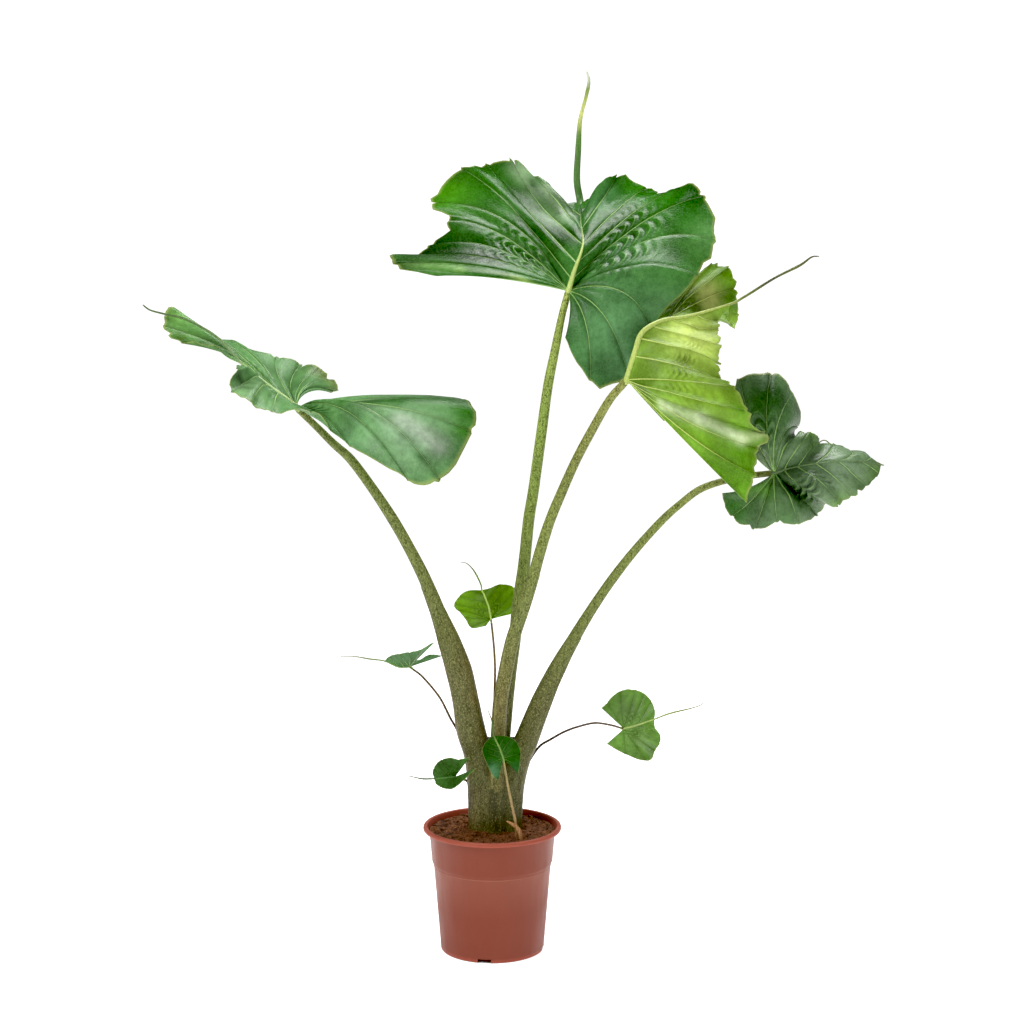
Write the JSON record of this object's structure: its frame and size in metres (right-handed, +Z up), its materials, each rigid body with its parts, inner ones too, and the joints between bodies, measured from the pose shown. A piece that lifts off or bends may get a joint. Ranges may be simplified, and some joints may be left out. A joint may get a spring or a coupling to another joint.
{
  "type": "potted giant taro plant",
  "caption": "Potted giant taro: large wavy arrow-shaped leaves with long thread-like tips on tall tapering stalks, small young leaves, peat and a round nursery pot.",
  "frame": {"origin": "centre of the pot's underside, on the flat middle that it stands on", "axes": "+Z up along the pot's axis, +X to the right and +Y away from the front of the plant"},
  "size_m": [1.116, 0.3576, 1.3324],
  "materials": {
    "pot": "satin",
    "peat": "matte",
    "stalk": "satin",
    "small_stalk": "matte",
    "leaf_upper": "satin",
    "leaf_lime": "satin",
    "leaf_dark": "satin",
    "leaf_left": "satin",
    "leaf_small": "satin"
  },
  "bodies": {
    "root": {"pot": "pot", "soil": "peat", "stalk_left": "stalk", "stalk_dark": "stalk", "stalk_lime": "stalk", "stalk_upper": "stalk", "blade_left": "leaf_left", "blade_dark": "leaf_dark", "blade_lime": "leaf_lime", "blade_upper": "leaf_upper", "stalk_small_back": "small_stalk", "stalk_small_left": "small_stalk", "stalk_small_low": "small_stalk", "stalk_small_front": "small_stalk", "stalk_small_right": "small_stalk", "blade_small_back": "leaf_small", "blade_small_left": "leaf_small", "blade_small_low": "leaf_small", "blade_small_front": "leaf_small", "blade_small_right": "leaf_small"}
  },
  "joints": []
}
